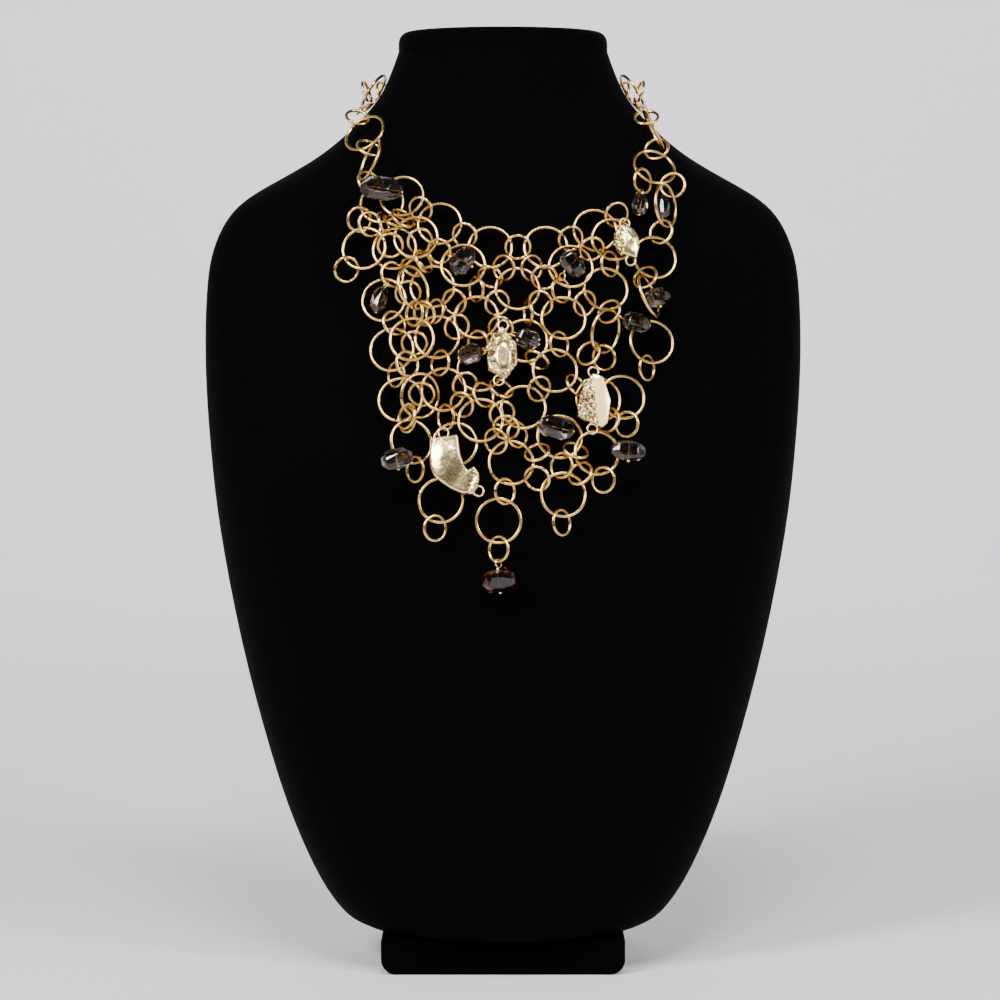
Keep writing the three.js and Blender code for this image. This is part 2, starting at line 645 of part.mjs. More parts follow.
// A flat nugget with a wire loop at its top and another at its foot.
function nuggetSolid({ name, centre, along, side, out, size, loops }) {
  const shape = new THREE.Shape();
  OUTLINES[name](shape, size.map((half) => half - NUGGET_BEVEL));
  shape.closePath();
  const plate = new THREE.ExtrudeGeometry(shape, {
    depth: NUGGET_DEPTH, curveSegments: 4,
    bevelThickness: NUGGET_BEVEL, bevelSize: NUGGET_BEVEL, bevelSegments: 1,
  });
  plate.translate(0, 0, -NUGGET_DEPTH / 2);
  const bails = loops.map(([across, up]) => {
    const bail = new THREE.TorusGeometry(BAIL.radius, BAIL.wire, 4, 8);
    bail.translate(across, up, 0);
    return toSolid(placeOn(bail, centre, along, side, out));
  });
  return bails.reduce((whole, bail) => whole.add(bail), toSolid(placeOn(plate, centre, along, side, out)));
}

// A flat link with two straight sides and two round ends.
function ovalGeometry({ size, centre, along, side, out }) {
  const straight = size.halfLength - size.halfWidth;
  const outline = (path, radius) => {
    path.absarc(straight, 0, radius, -Math.PI / 2, Math.PI / 2, false);
    path.absarc(-straight, 0, radius, Math.PI / 2, 1.5 * Math.PI, false);
    path.closePath();
    return path;
  };
  const shape = outline(new THREE.Shape(), size.halfWidth);
  shape.holes.push(outline(new THREE.Path(), size.halfWidth - size.bar));
  const options = { depth: size.thickness, bevelEnabled: false, curveSegments: 5 };
  const geometry = new THREE.ExtrudeGeometry(shape, options);
  geometry.translate(0, 0, -size.thickness / 2);
  return placeOn(geometry, centre, along, side, out);
}

// ---- Assembly ----

addPiece('bust_torso', torso(), velvet);
addPiece('bust_foot', foot(), velvet);
addPiece('neck_cap', cap(), velvet);
for (const { name } of [...strands, ...backChains]) addPiece(name, toGeometry(strandSolid(name)), ringGold);
for (const oval of [...ovals, clasp]) addPiece(oval.name, toGeometry(toSolid(ovalGeometry(oval))), ringGold);
stones.forEach((stone, i) => addPiece(stone.name, stoneGeometry(stone, i), smokyStone));
for (const nugget of nuggets) addPiece(nugget.name, toGeometry(nuggetSolid(nugget)), nuggetGold);

export default group;
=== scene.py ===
# %% [markdown]
# # A bib necklace on a velvet neck bust
#
# The object is a net of gold jump rings, hung with four cast nuggets and fourteen smoky stones, and
# laid over a padded velvet bust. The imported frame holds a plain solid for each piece. This lesson
# makes the fine piece for each one, in the same place, and gives it its finish.

# %% Load the frame
import math
import random

import bpy
import numpy as np
from mathutils import Matrix, Vector


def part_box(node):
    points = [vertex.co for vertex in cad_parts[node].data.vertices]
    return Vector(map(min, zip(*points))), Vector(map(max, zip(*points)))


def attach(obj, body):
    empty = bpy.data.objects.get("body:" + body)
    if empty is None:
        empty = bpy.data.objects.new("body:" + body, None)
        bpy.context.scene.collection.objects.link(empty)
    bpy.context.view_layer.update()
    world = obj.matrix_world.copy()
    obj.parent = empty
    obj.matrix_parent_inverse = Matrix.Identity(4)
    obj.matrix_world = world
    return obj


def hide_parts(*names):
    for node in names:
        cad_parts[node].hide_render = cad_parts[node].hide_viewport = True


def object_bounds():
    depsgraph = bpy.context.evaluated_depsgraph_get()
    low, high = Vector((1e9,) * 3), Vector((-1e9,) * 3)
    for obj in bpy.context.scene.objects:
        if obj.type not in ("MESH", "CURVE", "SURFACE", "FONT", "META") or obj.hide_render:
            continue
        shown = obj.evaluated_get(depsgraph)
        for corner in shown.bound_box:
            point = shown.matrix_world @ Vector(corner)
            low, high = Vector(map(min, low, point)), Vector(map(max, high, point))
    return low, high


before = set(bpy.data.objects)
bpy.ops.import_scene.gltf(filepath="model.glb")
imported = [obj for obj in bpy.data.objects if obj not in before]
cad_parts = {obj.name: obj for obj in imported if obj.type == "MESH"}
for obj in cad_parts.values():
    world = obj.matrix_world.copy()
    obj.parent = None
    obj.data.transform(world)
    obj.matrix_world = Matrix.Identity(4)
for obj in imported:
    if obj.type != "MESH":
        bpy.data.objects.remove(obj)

packed_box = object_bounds()
random.seed(11)
print("loaded", len(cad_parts), "nodes,", [round(size, 4) for size in packed_box[1] - packed_box[0]])

# %% [markdown]
# ## The camera
#
# A bust is usually shown from the front at chest height, from far enough away that its shoulders
# don't bulge. The camera stands a metre and a half off, four degrees above the middle, with a long
# lens. It comes first, so that every later step can be looked at through it.

# %% Place the camera
CAMERA_DISTANCE = 1.5
CAMERA_RISE = math.radians(4)
AIM_SHARE = 0.4945
SIDE_STEP = -0.00144
LENS = 112.5
FILM_WIDTH = 36

tall = packed_box[1].z - packed_box[0].z
aim = Vector((SIDE_STEP, 0, packed_box[0].z + AIM_SHARE * tall))
eye = aim + CAMERA_DISTANCE * Vector((0, -math.cos(CAMERA_RISE), math.sin(CAMERA_RISE)))
bpy.ops.object.camera_add(location=eye, rotation=(math.pi / 2 - CAMERA_RISE, 0, 0))
camera = bpy.context.object
camera.name = "front_camera"
camera.data.lens = LENS
camera.data.sensor_width = FILM_WIDTH
bpy.context.scene.camera = camera
print("camera at", [round(place, 3) for place in eye])

# %% [markdown]
# ## The studio
#
# The bust stands on a pale sweep: a floor that curves up into the wall with no corner, so that no
# horizon shows. Here it is a shallow bowl, because the object is looked at from behind as well. A
# disc is extruded at its rim, widened and lifted, and a bevel rounds the bend.

# %% Build the sweep
SWEEP_RADIUS = 3.2
SWEEP_HEIGHT = 3.4
SWEEP_BEND = 0.85


def take(piece):
    """Leaves one piece selected and active."""
    bpy.ops.object.select_all(action="DESELECT")
    piece.select_set(True)
    bpy.context.view_layer.objects.active = piece
    return piece


def edit(mode):
    """Goes into edit mode with nothing but faces, edges or points to pick, and all picked."""
    bpy.ops.object.mode_set(mode="EDIT")
    bpy.ops.mesh.select_mode(type=mode)
    bpy.ops.mesh.select_all(action="SELECT")


def done():
    bpy.ops.object.mode_set(mode="OBJECT")


def settle(piece, name):
    """Puts a finished piece's place into its mesh, and names it."""
    take(piece)
    bpy.ops.object.transform_apply(location=True, rotation=True, scale=True)
    piece.name = name
    piece.data.name = name
    return piece


bpy.ops.object.select_all(action="DESELECT")
bpy.ops.mesh.primitive_circle_add(vertices=72, radius=SWEEP_RADIUS, fill_type="NGON", location=(0, 0, 0))
sweep = bpy.context.object
edit("FACE")
bpy.ops.mesh.inset(thickness=0.9)
bpy.ops.mesh.select_mode(type="EDGE")
bpy.ops.mesh.select_all(action="DESELECT")
done()
for edge in sweep.data.edges:
    ends = [sweep.data.vertices[i].co.length for i in edge.vertices]
    edge.select = min(ends) > SWEEP_RADIUS - 0.01
bpy.ops.object.mode_set(mode="EDIT")
bpy.ops.mesh.extrude_region_move(TRANSFORM_OT_translate={"value": (0, 0, SWEEP_HEIGHT)})
done()
bend = sweep.modifiers.new("bend", "BEVEL")
bend.width = SWEEP_BEND
bend.segments = 12
bend.limit_method = "ANGLE"
bend.angle_limit = math.radians(60)
take(sweep)
bpy.ops.object.modifier_apply(modifier="bend")
bpy.ops.object.shade_smooth()
settle(sweep, "studio_sweep")
print("sweep has", len(sweep.data.polygons), "faces")

# %% [markdown]
# ## The light
#
# Polished wire only looks round when it mirrors something bright next to something dark. Two large
# soft boxes stand left and right of the camera. A third hangs high in front, where the sloping chest
# mirrors it into the lens, and a fourth lights the wall. The world fills the shadows a little.

# %% Light the studio
def soft_box(name, place, target, wide, high, power, colour=(1, 1, 1)):
    """An area light of that size, turned to face the target."""
    turn = (Vector(target) - Vector(place)).to_track_quat("-Z", "Y").to_euler()
    bpy.ops.object.light_add(type="AREA", location=place, rotation=turn)
    lamp = bpy.context.object
    lamp.name = name
    lamp.data.shape = "RECTANGLE"
    lamp.data.size = wide
    lamp.data.size_y = high
    lamp.data.energy = power
    lamp.data.color = colour
    return lamp


chest = (0, -0.05, 0.3)
soft_box("key_box", (-0.95, -1.15, 1.25), chest, 0.4, 0.6, 39, (1, 0.965, 0.89))
soft_box("fill_box", (1.2, -1.0, 1.0), chest, 0.35, 0.6, 22, (0.98, 0.98, 1))
soft_box("high_box", (0.1, -0.95, 1.5), chest, 0.45, 0.3, 17)
soft_box("wall_box", (0, 1.3, 2.3), (0, 3.1, 1.1), 2.2, 0.9, 88, (0.97, 0.955, 1))

world = bpy.data.worlds.new("studio_air")
bpy.context.scene.world = world
world.use_nodes = True
air = world.node_tree.nodes["Background"]
air.inputs["Color"].default_value = (0.86, 0.86, 0.92, 1)
air.inputs["Strength"].default_value = 0.1

# %% [markdown]
# ## Finishes
#
# A material is a small chain of nodes that ends in one Principled shader. Two effects are wanted in
# more than one finish, so each is a node group with named sockets: the mottled tone of handled
# metal, and the clouds and needles inside quartz. The groups give out only masks and heights, and
# each material decides what to do with them.

# %% Start a node group and a material
def add_node(tree, kind, place=(0, 0), **settings):
    node = tree.nodes.new(kind)
    node.location = place
    for key, value in settings.items():
        setattr(node, key, value)
    return node


def new_group(name, inputs, outputs):
    """An empty node group with float sockets, each input with its usual value."""
    group = bpy.data.node_groups.new(name, "ShaderNodeTree")
    for label, value in inputs:
        socket = group.interface.new_socket(label, in_out="INPUT", socket_type="NodeSocketFloat")
        socket.default_value = value
    for label in outputs:
        group.interface.new_socket(label, in_out="OUTPUT", socket_type="NodeSocketFloat")
    start = add_node(group, "NodeGroupInput", (-900, 0))
    end = add_node(group, "NodeGroupOutput", (600, 0))
    return group, start, end


def new_material(name, colour, roughness, metallic=0.0):
    material = bpy.data.materials.new(name)
    material.use_nodes = True
    shader = material.node_tree.nodes["Principled BSDF"]
    shader.inputs["Base Color"].default_value = (*colour, 1)
    shader.inputs["Roughness"].default_value = roughness
    shader.inputs["Metallic"].default_value = metallic
    material.diffuse_color = (*colour, 1)
    return material, shader


def stretch(tree, value, low, high, out_low, out_high, place=(0, 0)):
    """A Map Range node from one span to another. Returns its output socket."""
    node = add_node(tree, "ShaderNodeMapRange", place)
    for label, number in zip(("From Min", "From Max", "To Min", "To Max"), (low, high, out_low, out_high)):
        node.inputs[label].default_value = number
    tree.links.new(value, node.inputs["Value"])
    return node.outputs["Result"]


def blend_colours(tree, mask, first, second, place=(0, 0)):
    """A Mix node between two colours or colour sockets. Returns its output socket."""
    node = add_node(tree, "ShaderNodeMix", place, data_type="RGBA")
    tree.links.new(mask, node.inputs["Factor"])
    for socket, colour in ((node.inputs[6], first), (node.inputs[7], second)):
        if isinstance(colour, tuple):
            socket.default_value = (*colour, 1)
        else:
            tree.links.new(colour, socket)
    return node.outputs[2]


def add_bump(tree, shader, height, depth, strength):
    """A Bump node on the shader's normal. `depth` is in metres."""
    bump = add_node(tree, "ShaderNodeBump", (-220, -420))
    bump.inputs["Distance"].default_value = depth
    bump.inputs["Strength"].default_value = strength
    tree.links.new(height, bump.inputs["Height"])
    tree.links.new(bump.outputs["Normal"], shader.inputs["Normal"])


def noise(tree, coordinates, scale, detail, place):
    node = add_node(tree, "ShaderNodeTexNoise", place)
    node.inputs["Scale"].default_value = scale
    node.inputs["Detail"].default_value = detail
    tree.links.new(coordinates, node.inputs["Vector"])
    return node


# %% [markdown]
# Handled metal is never one colour. Where fingers and cloth rub it the plating is pale, and in the
# creases a warm brown film stays. Large soft noise gives the patches, finer noise breaks their
# edges, and a very fine one is the drawn or cast skin that softens the mirror.

# %% Make the worn metal group
def worn_metal_group():
    group, start, end = new_group("Worn metal", [("Patch scale", 90), ("Grain scale", 1500)],
                                  ["Patches", "Grain", "Height"])
    where = add_node(group, "ShaderNodeTexCoord", (-900, 300)).outputs["Object"]
    patches = noise(group, where, 90, 3, (-600, 300))
    grain = noise(group, where, 1500, 2, (-600, 0))
    scratch = noise(group, where, 4200, 1, (-600, -300))
    group.links.new(start.outputs["Patch scale"], patches.inputs["Scale"])
    group.links.new(start.outputs["Grain scale"], grain.inputs["Scale"])
    mottled = stretch(group, patches.outputs["Fac"], 0.36, 0.64, 0, 1, (-300, 300))
    cast = stretch(group, grain.outputs["Fac"], 0.3, 0.7, 0, 1, (-300, 0))
    group.links.new(mottled, end.inputs["Patches"])
    group.links.new(cast, end.inputs["Grain"])
    add = add_node(group, "ShaderNodeMath", (-300, -300), operation="ADD")
    group.links.new(grain.outputs["Fac"], add.inputs[0])
    group.links.new(scratch.outputs["Fac"], add.inputs[1])
    group.links.new(add.outputs[0], end.inputs["Height"])
    return group


worn_metal = worn_metal_group()
print("group", worn_metal.name, [socket.name for socket in worn_metal.interface.items_tree])


# %% [markdown]
# The rings, the links and the pins are brass wire with a warm antique plating. The patches mix a
# yellow gold with a browner one, and the fine grain makes the mirror a little rougher in places.

# %% Make the gold finishes
GRAIN_DEPTH = 0.00004


def gold(name, pale, deep, smooth, rough, patch_scale, bump):
    """Plated metal: its rubbed and its toned colour, and the roughness of each."""
    material, shader = new_material(name, pale, smooth, 1.0)
    tree = material.node_tree
    wear = add_node(tree, "ShaderNodeGroup", (-900, 0), node_tree=worn_metal)
    wear.inputs["Patch scale"].default_value = patch_scale
    tone = blend_colours(tree, wear.outputs["Patches"], pale, deep, (-500, 200))
    tree.links.new(tone, shader.inputs["Base Color"])
    worn = stretch(tree, wear.outputs["Grain"], 0, 1, smooth, rough, (-500, -100))
    tree.links.new(worn, shader.inputs["Roughness"])
    add_bump(tree, shader, wear.outputs["Height"], GRAIN_DEPTH, bump)
    return material, shader, tone


ring_gold = gold("ring_gold", (0.88, 0.62, 0.2), (0.58, 0.34, 0.11), 0.17, 0.29, 140, 0.3)[0]
link_gold = gold("link_gold", (0.95, 0.72, 0.28), (0.8, 0.52, 0.18), 0.1, 0.2, 160, 0.15)[0]
print("made", ring_gold.name, link_gold.name)

# %% [markdown]
# The nuggets are paler, a champagne gold over cast metal. Their pits are darkened towards brown as
# painted shade. Each nugget carries an attribute that says how deep each point was pressed in, and
# the finish reads it to paint that shade. A second one marks the flat facet, which was brushed to a
# satin and mirrors less.

# %% Make the nugget finish
CHAMPAGNE = (0.95, 0.78, 0.4)
DULL_CHAMPAGNE = (0.82, 0.62, 0.29)
# painted shade: the dark brown that the deepest pits are coloured towards
PIT_SHADE_BROWN = (0.1, 0.055, 0.02)
SATIN = 0.62


def nugget_finish():
    material, shader, tone = gold("nugget_gold", CHAMPAGNE, DULL_CHAMPAGNE, 0.16, 0.3, 260, 0.4)
    tree = material.node_tree
    pressed = add_node(tree, "ShaderNodeAttribute", (-900, 500), attribute_name="pressed").outputs["Fac"]
    # painted shade in the pits: the deeper a point sank, the darker and browner its colour
    shade = stretch(tree, pressed, 0.25, 1, 0, 0.85, (-600, 500))
    toned = blend_colours(tree, shade, tone, PIT_SHADE_BROWN, (-250, 300))
    tree.links.new(toned, shader.inputs["Base Color"])
    brushed = add_node(tree, "ShaderNodeAttribute", (-900, -500), attribute_name="brushed").outputs["Fac"]
    satin = stretch(tree, brushed, 0, 1, 0, SATIN, (-500, -500))
    rougher = add_node(tree, "ShaderNodeMath", (-250, -200), operation="MAXIMUM")
    tree.links.new(shader.inputs["Roughness"].links[0].from_socket, rougher.inputs[0])
    tree.links.new(satin, rougher.inputs[1])
    tree.links.new(rougher.outputs[0], shader.inputs["Roughness"])
    return material


nugget_gold = nugget_finish()
print("made", nugget_gold.name)


# %% [markdown]
# Smoky quartz is a clear stone with a brown haze. The haze lies in veils, and fine needles catch
# the light, so a second group gives out a soft cloud and a thin thread pattern. The glass itself
# keeps plain transmission, and only its colour and roughness change over the surface.

# %% Make the quartz finishes
def quartz_group():
    group, start, end = new_group("Quartz veils", [("Veil scale", 160)], ["Veils", "Threads"])
    where = add_node(group, "ShaderNodeTexCoord", (-900, 300)).outputs["Object"]
    veils = noise(group, where, 160, 4, (-600, 300))
    group.links.new(start.outputs["Veil scale"], veils.inputs["Scale"])
    cells = add_node(group, "ShaderNodeTexVoronoi", (-600, 0), feature="DISTANCE_TO_EDGE")
    cells.inputs["Scale"].default_value = 260
    group.links.new(where, cells.inputs["Vector"])
    cloud = stretch(group, veils.outputs["Fac"], 0.35, 0.65, 0, 1, (-300, 300))
    threads = stretch(group, cells.outputs["Distance"], 0, 0.06, 1, 0, (-300, 0))
    group.links.new(cloud, end.inputs["Veils"])
    group.links.new(threads, end.inputs["Threads"])
    return group


quartz_veils = quartz_group()


def quartz(name, clear, smoke, veil_scale):
    material, shader = new_material(name, clear, 0.02)
    shader.inputs["Transmission Weight"].default_value = 1.0
    shader.inputs["IOR"].default_value = 1.54
    tree = material.node_tree
    veils = add_node(tree, "ShaderNodeGroup", (-900, 0), node_tree=quartz_veils)
    veils.inputs["Veil scale"].default_value = veil_scale
    haze = blend_colours(tree, veils.outputs["Veils"], clear, smoke, (-500, 200))
    tree.links.new(haze, shader.inputs["Base Color"])
    rough = stretch(tree, veils.outputs["Threads"], 0, 1, 0.015, 0.16, (-500, -100))
    tree.links.new(rough, shader.inputs["Roughness"])
    return material


smoky_stone = quartz("smoky_stone", (0.17, 0.13, 0.108), (0.04, 0.028, 0.022), 150)
amber_stone = quartz("amber_stone", (0.13, 0.036, 0.022), (0.04, 0.01, 0.006), 120)
print("made", smoky_stone.name, amber_stone.name)


# %% [markdown]
# Velvet is a forest of short black fibres. Seen straight on it swallows the light, and only at
# grazing angles do the tips shine, which is what the shader's sheen is for. Fine noise is the pile,
# and a broad slow noise is where hands have brushed it one way or the other.

# %% Make the velvet
DEEP_BLACK = (0.0004, 0.0005, 0.0008)
SOFT_BLACK = (0.0009, 0.0009, 0.0013)


def velvet_finish():
    material, shader = new_material("velvet", (0.0006, 0.0007, 0.001), 0.9)
    shader.inputs["Specular IOR Level"].default_value = 0.02
    shader.inputs["Sheen Weight"].default_value = 0.012
    shader.inputs["Sheen Roughness"].default_value = 0.35
    shader.inputs["Sheen Tint"].default_value = (0.75, 0.75, 0.9, 1)
    tree = material.node_tree
    where = add_node(tree, "ShaderNodeTexCoord", (-1100, 0)).outputs["Object"]
    pile = noise(tree, where, 1700, 2, (-900, 200))
    brushed = noise(tree, where, 14, 3, (-900, -200))
    tone = blend_colours(tree, brushed.outputs["Fac"], DEEP_BLACK, SOFT_BLACK, (-500, 200))
    tree.links.new(tone, shader.inputs["Base Color"])
    rough = stretch(tree, pile.outputs["Fac"], 0.3, 0.7, 0.8, 1, (-500, -100))
    tree.links.new(rough, shader.inputs["Roughness"])
    add_bump(tree, shader, pile.outputs["Fac"], 0.0003, 0.4)
    return material


velvet = velvet_finish()
print("made", velvet.name)


# %% [markdown]
# The sweep is matt paper, very slightly violet. Behind the camera its colour goes over to grey as
# painted shade, because gold and glass need something dark to mirror, or they look like plaster.

# %% Paper the sweep
PAPER = (0.78, 0.77, 0.8)
# painted shade: the grey the paper takes behind the camera
SHADE_GREY_PAPER = (0.2, 0.2, 0.21)


def sweep_paper():
    material, shader = new_material("sweep_paper", PAPER, 0.9)
    shader.inputs["Specular IOR Level"].default_value = 0.1
    tree = material.node_tree
    where = add_node(tree, "ShaderNodeTexCoord", (-1100, 0)).outputs["Object"]
    parts = add_node(tree, "ShaderNodeSeparateXYZ", (-900, 0))
    tree.links.new(where, parts.inputs["Vector"])
    # painted shade: the paper turns grey behind the camera, where gold and glass mirror it
    shaded_behind_camera = stretch(tree, parts.outputs["Y"], -0.9, -2.0, 0, 1, (-700, 0))
    tone = blend_colours(tree, shaded_behind_camera, PAPER, SHADE_GREY_PAPER, (-400, 0))
    tree.links.new(tone, shader.inputs["Base Color"])
    return material


sweep.data.materials.append(sweep_paper())

# %% [markdown]
# ## The bust
#
# The real bust is a carved foam body wrapped in velvet, so its skin is one smooth curve with no
# corner except at its two ends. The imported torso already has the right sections. Its copy is merged
# back to quads, its two end rims are creased, and a Subdivision Surface rounds the rest.

# %% Round the torso
def copy_node(node, name):
    """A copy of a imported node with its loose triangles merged."""
    piece = bpy.data.objects.new(name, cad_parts[node].data.copy())
    bpy.context.scene.collection.objects.link(piece)
    take(piece)
    piece.data.materials.clear()
    edit("VERT")
    bpy.ops.mesh.customdata_custom_splitnormals_clear()
    bpy.ops.mesh.remove_doubles(threshold=0.000002)
    bpy.ops.mesh.tris_convert_to_quads(face_threshold=math.radians(60), shape_threshold=math.radians(60))
    done()
    return piece


def own(piece, node, material):
    """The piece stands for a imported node, rides on the body, and takes its finish."""
    piece.data.materials.clear()
    piece.data.materials.append(material)
    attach(piece, "root")
    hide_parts(node)
    print(piece.name, "has", len(piece.data.polygons), "faces")


def crease_level_rims(piece, heights):
    """Creases the level edge loops that lie at those heights."""
    crease = piece.data.attributes.new("crease_edge", "FLOAT", "EDGE")
    for edge in piece.data.edges:
        levels = [piece.data.vertices[i].co.z for i in edge.vertices]
        if any(max(abs(level - height) for level in levels) < 0.0001 for height in heights):
            crease.data[edge.index].value = 1.0


def smooth_skin(piece, levels):
    skin = piece.modifiers.new("skin", "SUBSURF")
    skin.levels = levels
    skin.render_levels = levels
    take(piece)
    bpy.ops.object.modifier_apply(modifier="skin")
    bpy.ops.object.shade_smooth_by_angle(angle=math.radians(40))


torso = copy_node("bust_torso", "velvet_torso")
torso_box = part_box("bust_torso")
crease_level_rims(torso, [torso_box[0].z, torso_box[1].z])
smooth_skin(torso, 2)
own(torso, "bust_torso", velvet)

# %% [markdown]
# The neck ends in a separate pad: a board under velvet, with a rounded rim that catches a line of
# light, and a slightly domed top. A cylinder of the right size is scaled to its oval, its top rim
# is bevelled round, and an inset lifts the dome.

# %% Make the neck cap
CAP_DOME = 0.0015
CAP_ROUNDING = 0.0062


def edit_kept(mode):
    """Goes into edit mode and keeps what is already picked."""
    bpy.ops.object.mode_set(mode="EDIT")
    bpy.ops.mesh.select_mode(type=mode)


def pick_edges(piece, rule):
    """Goes into edit mode with only the edges picked that obey the rule."""
    take(piece)
    edit("EDGE")
    bpy.ops.mesh.select_all(action="DESELECT")
    done()
    for edge in piece.data.edges:
        edge.select = rule(edge)
    edit_kept("EDGE")


def neck_cap():
    low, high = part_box("neck_cap")
    middle = (low + high) / 2
    half = (high - low) / 2
    rim = high.z - CAP_DOME
    bpy.ops.object.select_all(action="DESELECT")
    bpy.ops.mesh.primitive_cylinder_add(vertices=96, radius=1, depth=rim - low.z,
                                        location=(middle.x, middle.y, (rim + low.z) / 2))
    piece = bpy.context.object
    piece.scale = (half.x, half.y, 1)
    settle(piece, "velvet_neck_cap")
    pick_edges(piece, lambda edge: all(piece.data.vertices[i].co.z > rim - 0.0001 for i in edge.vertices))
    bpy.ops.mesh.bevel(offset=CAP_ROUNDING, segments=8, profile=0.55, affect="EDGES")
    bpy.ops.mesh.select_all(action="DESELECT")
    done()
    for face in piece.data.polygons:
        face.select = face.normal.z > 0.99 and face.area > 0.001
    edit_kept("FACE")
    for _ in range(3):
        bpy.ops.mesh.inset(thickness=0.009)
        bpy.ops.transform.translate(value=(0, 0, CAP_DOME / 3))
    done()
    take(piece)
    bpy.ops.object.shade_smooth_by_angle(angle=math.radians(40))
    return piece


cap = neck_cap()
own(cap, "neck_cap", velvet)

# %% [markdown]
# The bust stands on a low block, also wrapped in velvet. Its lower long edges are well rounded and
# the others are only as soft as cloth folded over a board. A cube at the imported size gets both
# bevels, the large one first.

# %% Make the foot
FOOT_ROUNDING = 0.007
FOOT_SOFTNESS = 0.0014


def bust_foot():
    low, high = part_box("bust_foot")
    middle = (low + high) / 2
    bpy.ops.object.select_all(action="DESELECT")
    bpy.ops.mesh.primitive_cube_add(size=1, location=middle)
    piece = bpy.context.object
    piece.scale = high - low
    settle(piece, "velvet_foot")

    def lower_long(edge):
        ends = [piece.data.vertices[i].co for i in edge.vertices]
        return all(end.z < middle.z for end in ends) and abs(ends[0].y - ends[1].y) > 0.01

    pick_edges(piece, lower_long)
    bpy.ops.mesh.bevel(offset=FOOT_ROUNDING, segments=8, affect="EDGES")
    done()
    soft = piece.modifiers.new("soft", "BEVEL")
    soft.width = FOOT_SOFTNESS
    soft.segments = 3
    soft.limit_method = "ANGLE"
    soft.angle_limit = math.radians(50)
    take(piece)
    bpy.ops.object.modifier_apply(modifier="soft")
    bpy.ops.object.shade_smooth_by_angle(angle=math.radians(35))
    return piece


foot = bust_foot()
own(foot, "bust_foot", velvet)

# %% [markdown]
# ## Where the rings lie
#
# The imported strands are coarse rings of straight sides: twelve sides for a big ring and eight for a
# small one. Their outer corners lie on exact circles, so each ring's middle and the way it faces
# can be read off its mesh: wherever two neighbouring edges have the right length and turn by the
# right angle, they give the circle that they belong to.

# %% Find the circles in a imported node
WIRE = 0.00075
BIG = 0.010
SMALL = 0.0057
BIG_SIDES = 12
SMALL_SIDES = 8
CLOSE = 0.000006
MERGE = 0.000002


def packed_rim(radius, sides):
    """The circle through a packed ring's outer corners."""
    return radius / math.cos(math.pi / (2 * sides)) + WIRE


def merged_points(node):
    """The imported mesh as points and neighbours, with its loose triangles joined."""
    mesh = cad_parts[node].data
    flat = np.empty(3 * len(mesh.vertices))
    mesh.vertices.foreach_get("co", flat)
    steps = np.round(flat.reshape(-1, 3) / MERGE).astype(int)
    keys, which = np.unique(steps, axis=0, return_inverse=True)
    points = keys * MERGE
    which = which.reshape(-1)
    neighbours = {}
    for edge in mesh.edges:
        a, b = (int(which[i]) for i in edge.vertices)
        if a != b:
            neighbours.setdefault(a, set()).add(b)
            neighbours.setdefault(b, set()).add(a)
    return points, neighbours


def find_rings(node, rim, sides):
    """The middles and directions of the circles of that radius, cut into that many sides."""
    points, neighbours = merged_points(node)
    side = 2 * rim * math.sin(math.pi / sides)
    across = 2 * rim * math.sin(2 * math.pi / sides)
    found = []
    for corner, around in neighbours.items():
        here = points[corner]
        ends = [i for i in sorted(around) if abs(np.linalg.norm(points[i] - here) - side) < CLOSE]
        for first in ends:
            for second in ends:
                if second <= first or abs(np.linalg.norm(points[first] - points[second]) - across) > CLOSE:
                    continue
                inward = (points[first] + points[second]) / 2 - here
                centre = here + inward / np.linalg.norm(inward) * rim
                facing = np.cross(points[first] - here, points[second] - here)
                found.append((centre, facing / np.linalg.norm(facing)))
    rings = []
    for centre, facing in found:
        same = [abs(facing @ way) > 0.99 for other, way in rings if np.linalg.norm(centre - other) < 0.0002]
        if not any(same):
            rings.append((centre, facing))
    return [(Vector(centre), Vector(facing)) for centre, facing in rings]


strand_names = [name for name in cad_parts
                if name.startswith(("shoulder_", "row_", "point_", "back_chain_"))]
rings_of = {}
for name in strand_names:
    big = find_rings(name, packed_rim(BIG, BIG_SIDES), BIG_SIDES)
    small = find_rings(name, packed_rim(SMALL, SMALL_SIDES), SMALL_SIDES)
    rings_of[name] = [(*ring, BIG) for ring in big] + [(*ring, SMALL) for ring in small]
print("big rings", sum(ring[2] == BIG for rings in rings_of.values() for ring in rings),
      "small rings", sum(ring[2] == SMALL for rings in rings_of.values() for ring in rings))

# %% [markdown]
# ## The jump rings
#
# A jump ring is cut from a coil of wire, so it is a round wire bent to a circle that doesn't quite
# close. A filled disc the size of the wire is spun almost all the way round, which leaves the fine
# split. There are two sizes. Each is modelled once, and every ring of the net is a copy, turned so
# that its split falls somewhere else.

# %% Model the two rings
SPLIT = math.radians(3)
SMALL_SPLIT = SPLIT * 1.6


def jump_ring(name, radius, wire, steps, corners, split):
    """An open ring of round wire about the origin, lying in the XY plane."""
    bpy.ops.object.select_all(action="DESELECT")
    bpy.ops.mesh.primitive_circle_add(vertices=corners, radius=wire, fill_type="NGON",
                                      location=(radius, 0, 0), rotation=(math.pi / 2, 0, 0))
    piece = bpy.context.object
    settle(piece, name)
    edit("FACE")
    bpy.ops.mesh.spin(steps=steps, angle=2 * math.pi - split, center=(0, 0, 0), axis=(0, 0, 1))
    done()
    pick_edges(piece, lambda edge: False)
    bpy.ops.mesh.select_non_manifold()
    bpy.ops.mesh.edge_face_add()
    bpy.ops.mesh.select_all(action="SELECT")
    bpy.ops.mesh.normals_make_consistent(inside=False)
    done()
    bpy.ops.object.shade_smooth_by_angle(angle=math.radians(60))
    return piece


big_ring = jump_ring("big_ring", BIG, WIRE, 48, 10, SPLIT)
small_ring = jump_ring("small_ring", SMALL, WIRE, 32, 10, SMALL_SPLIT)
print("big ring", len(big_ring.data.polygons), "faces, small ring", len(small_ring.data.polygons))

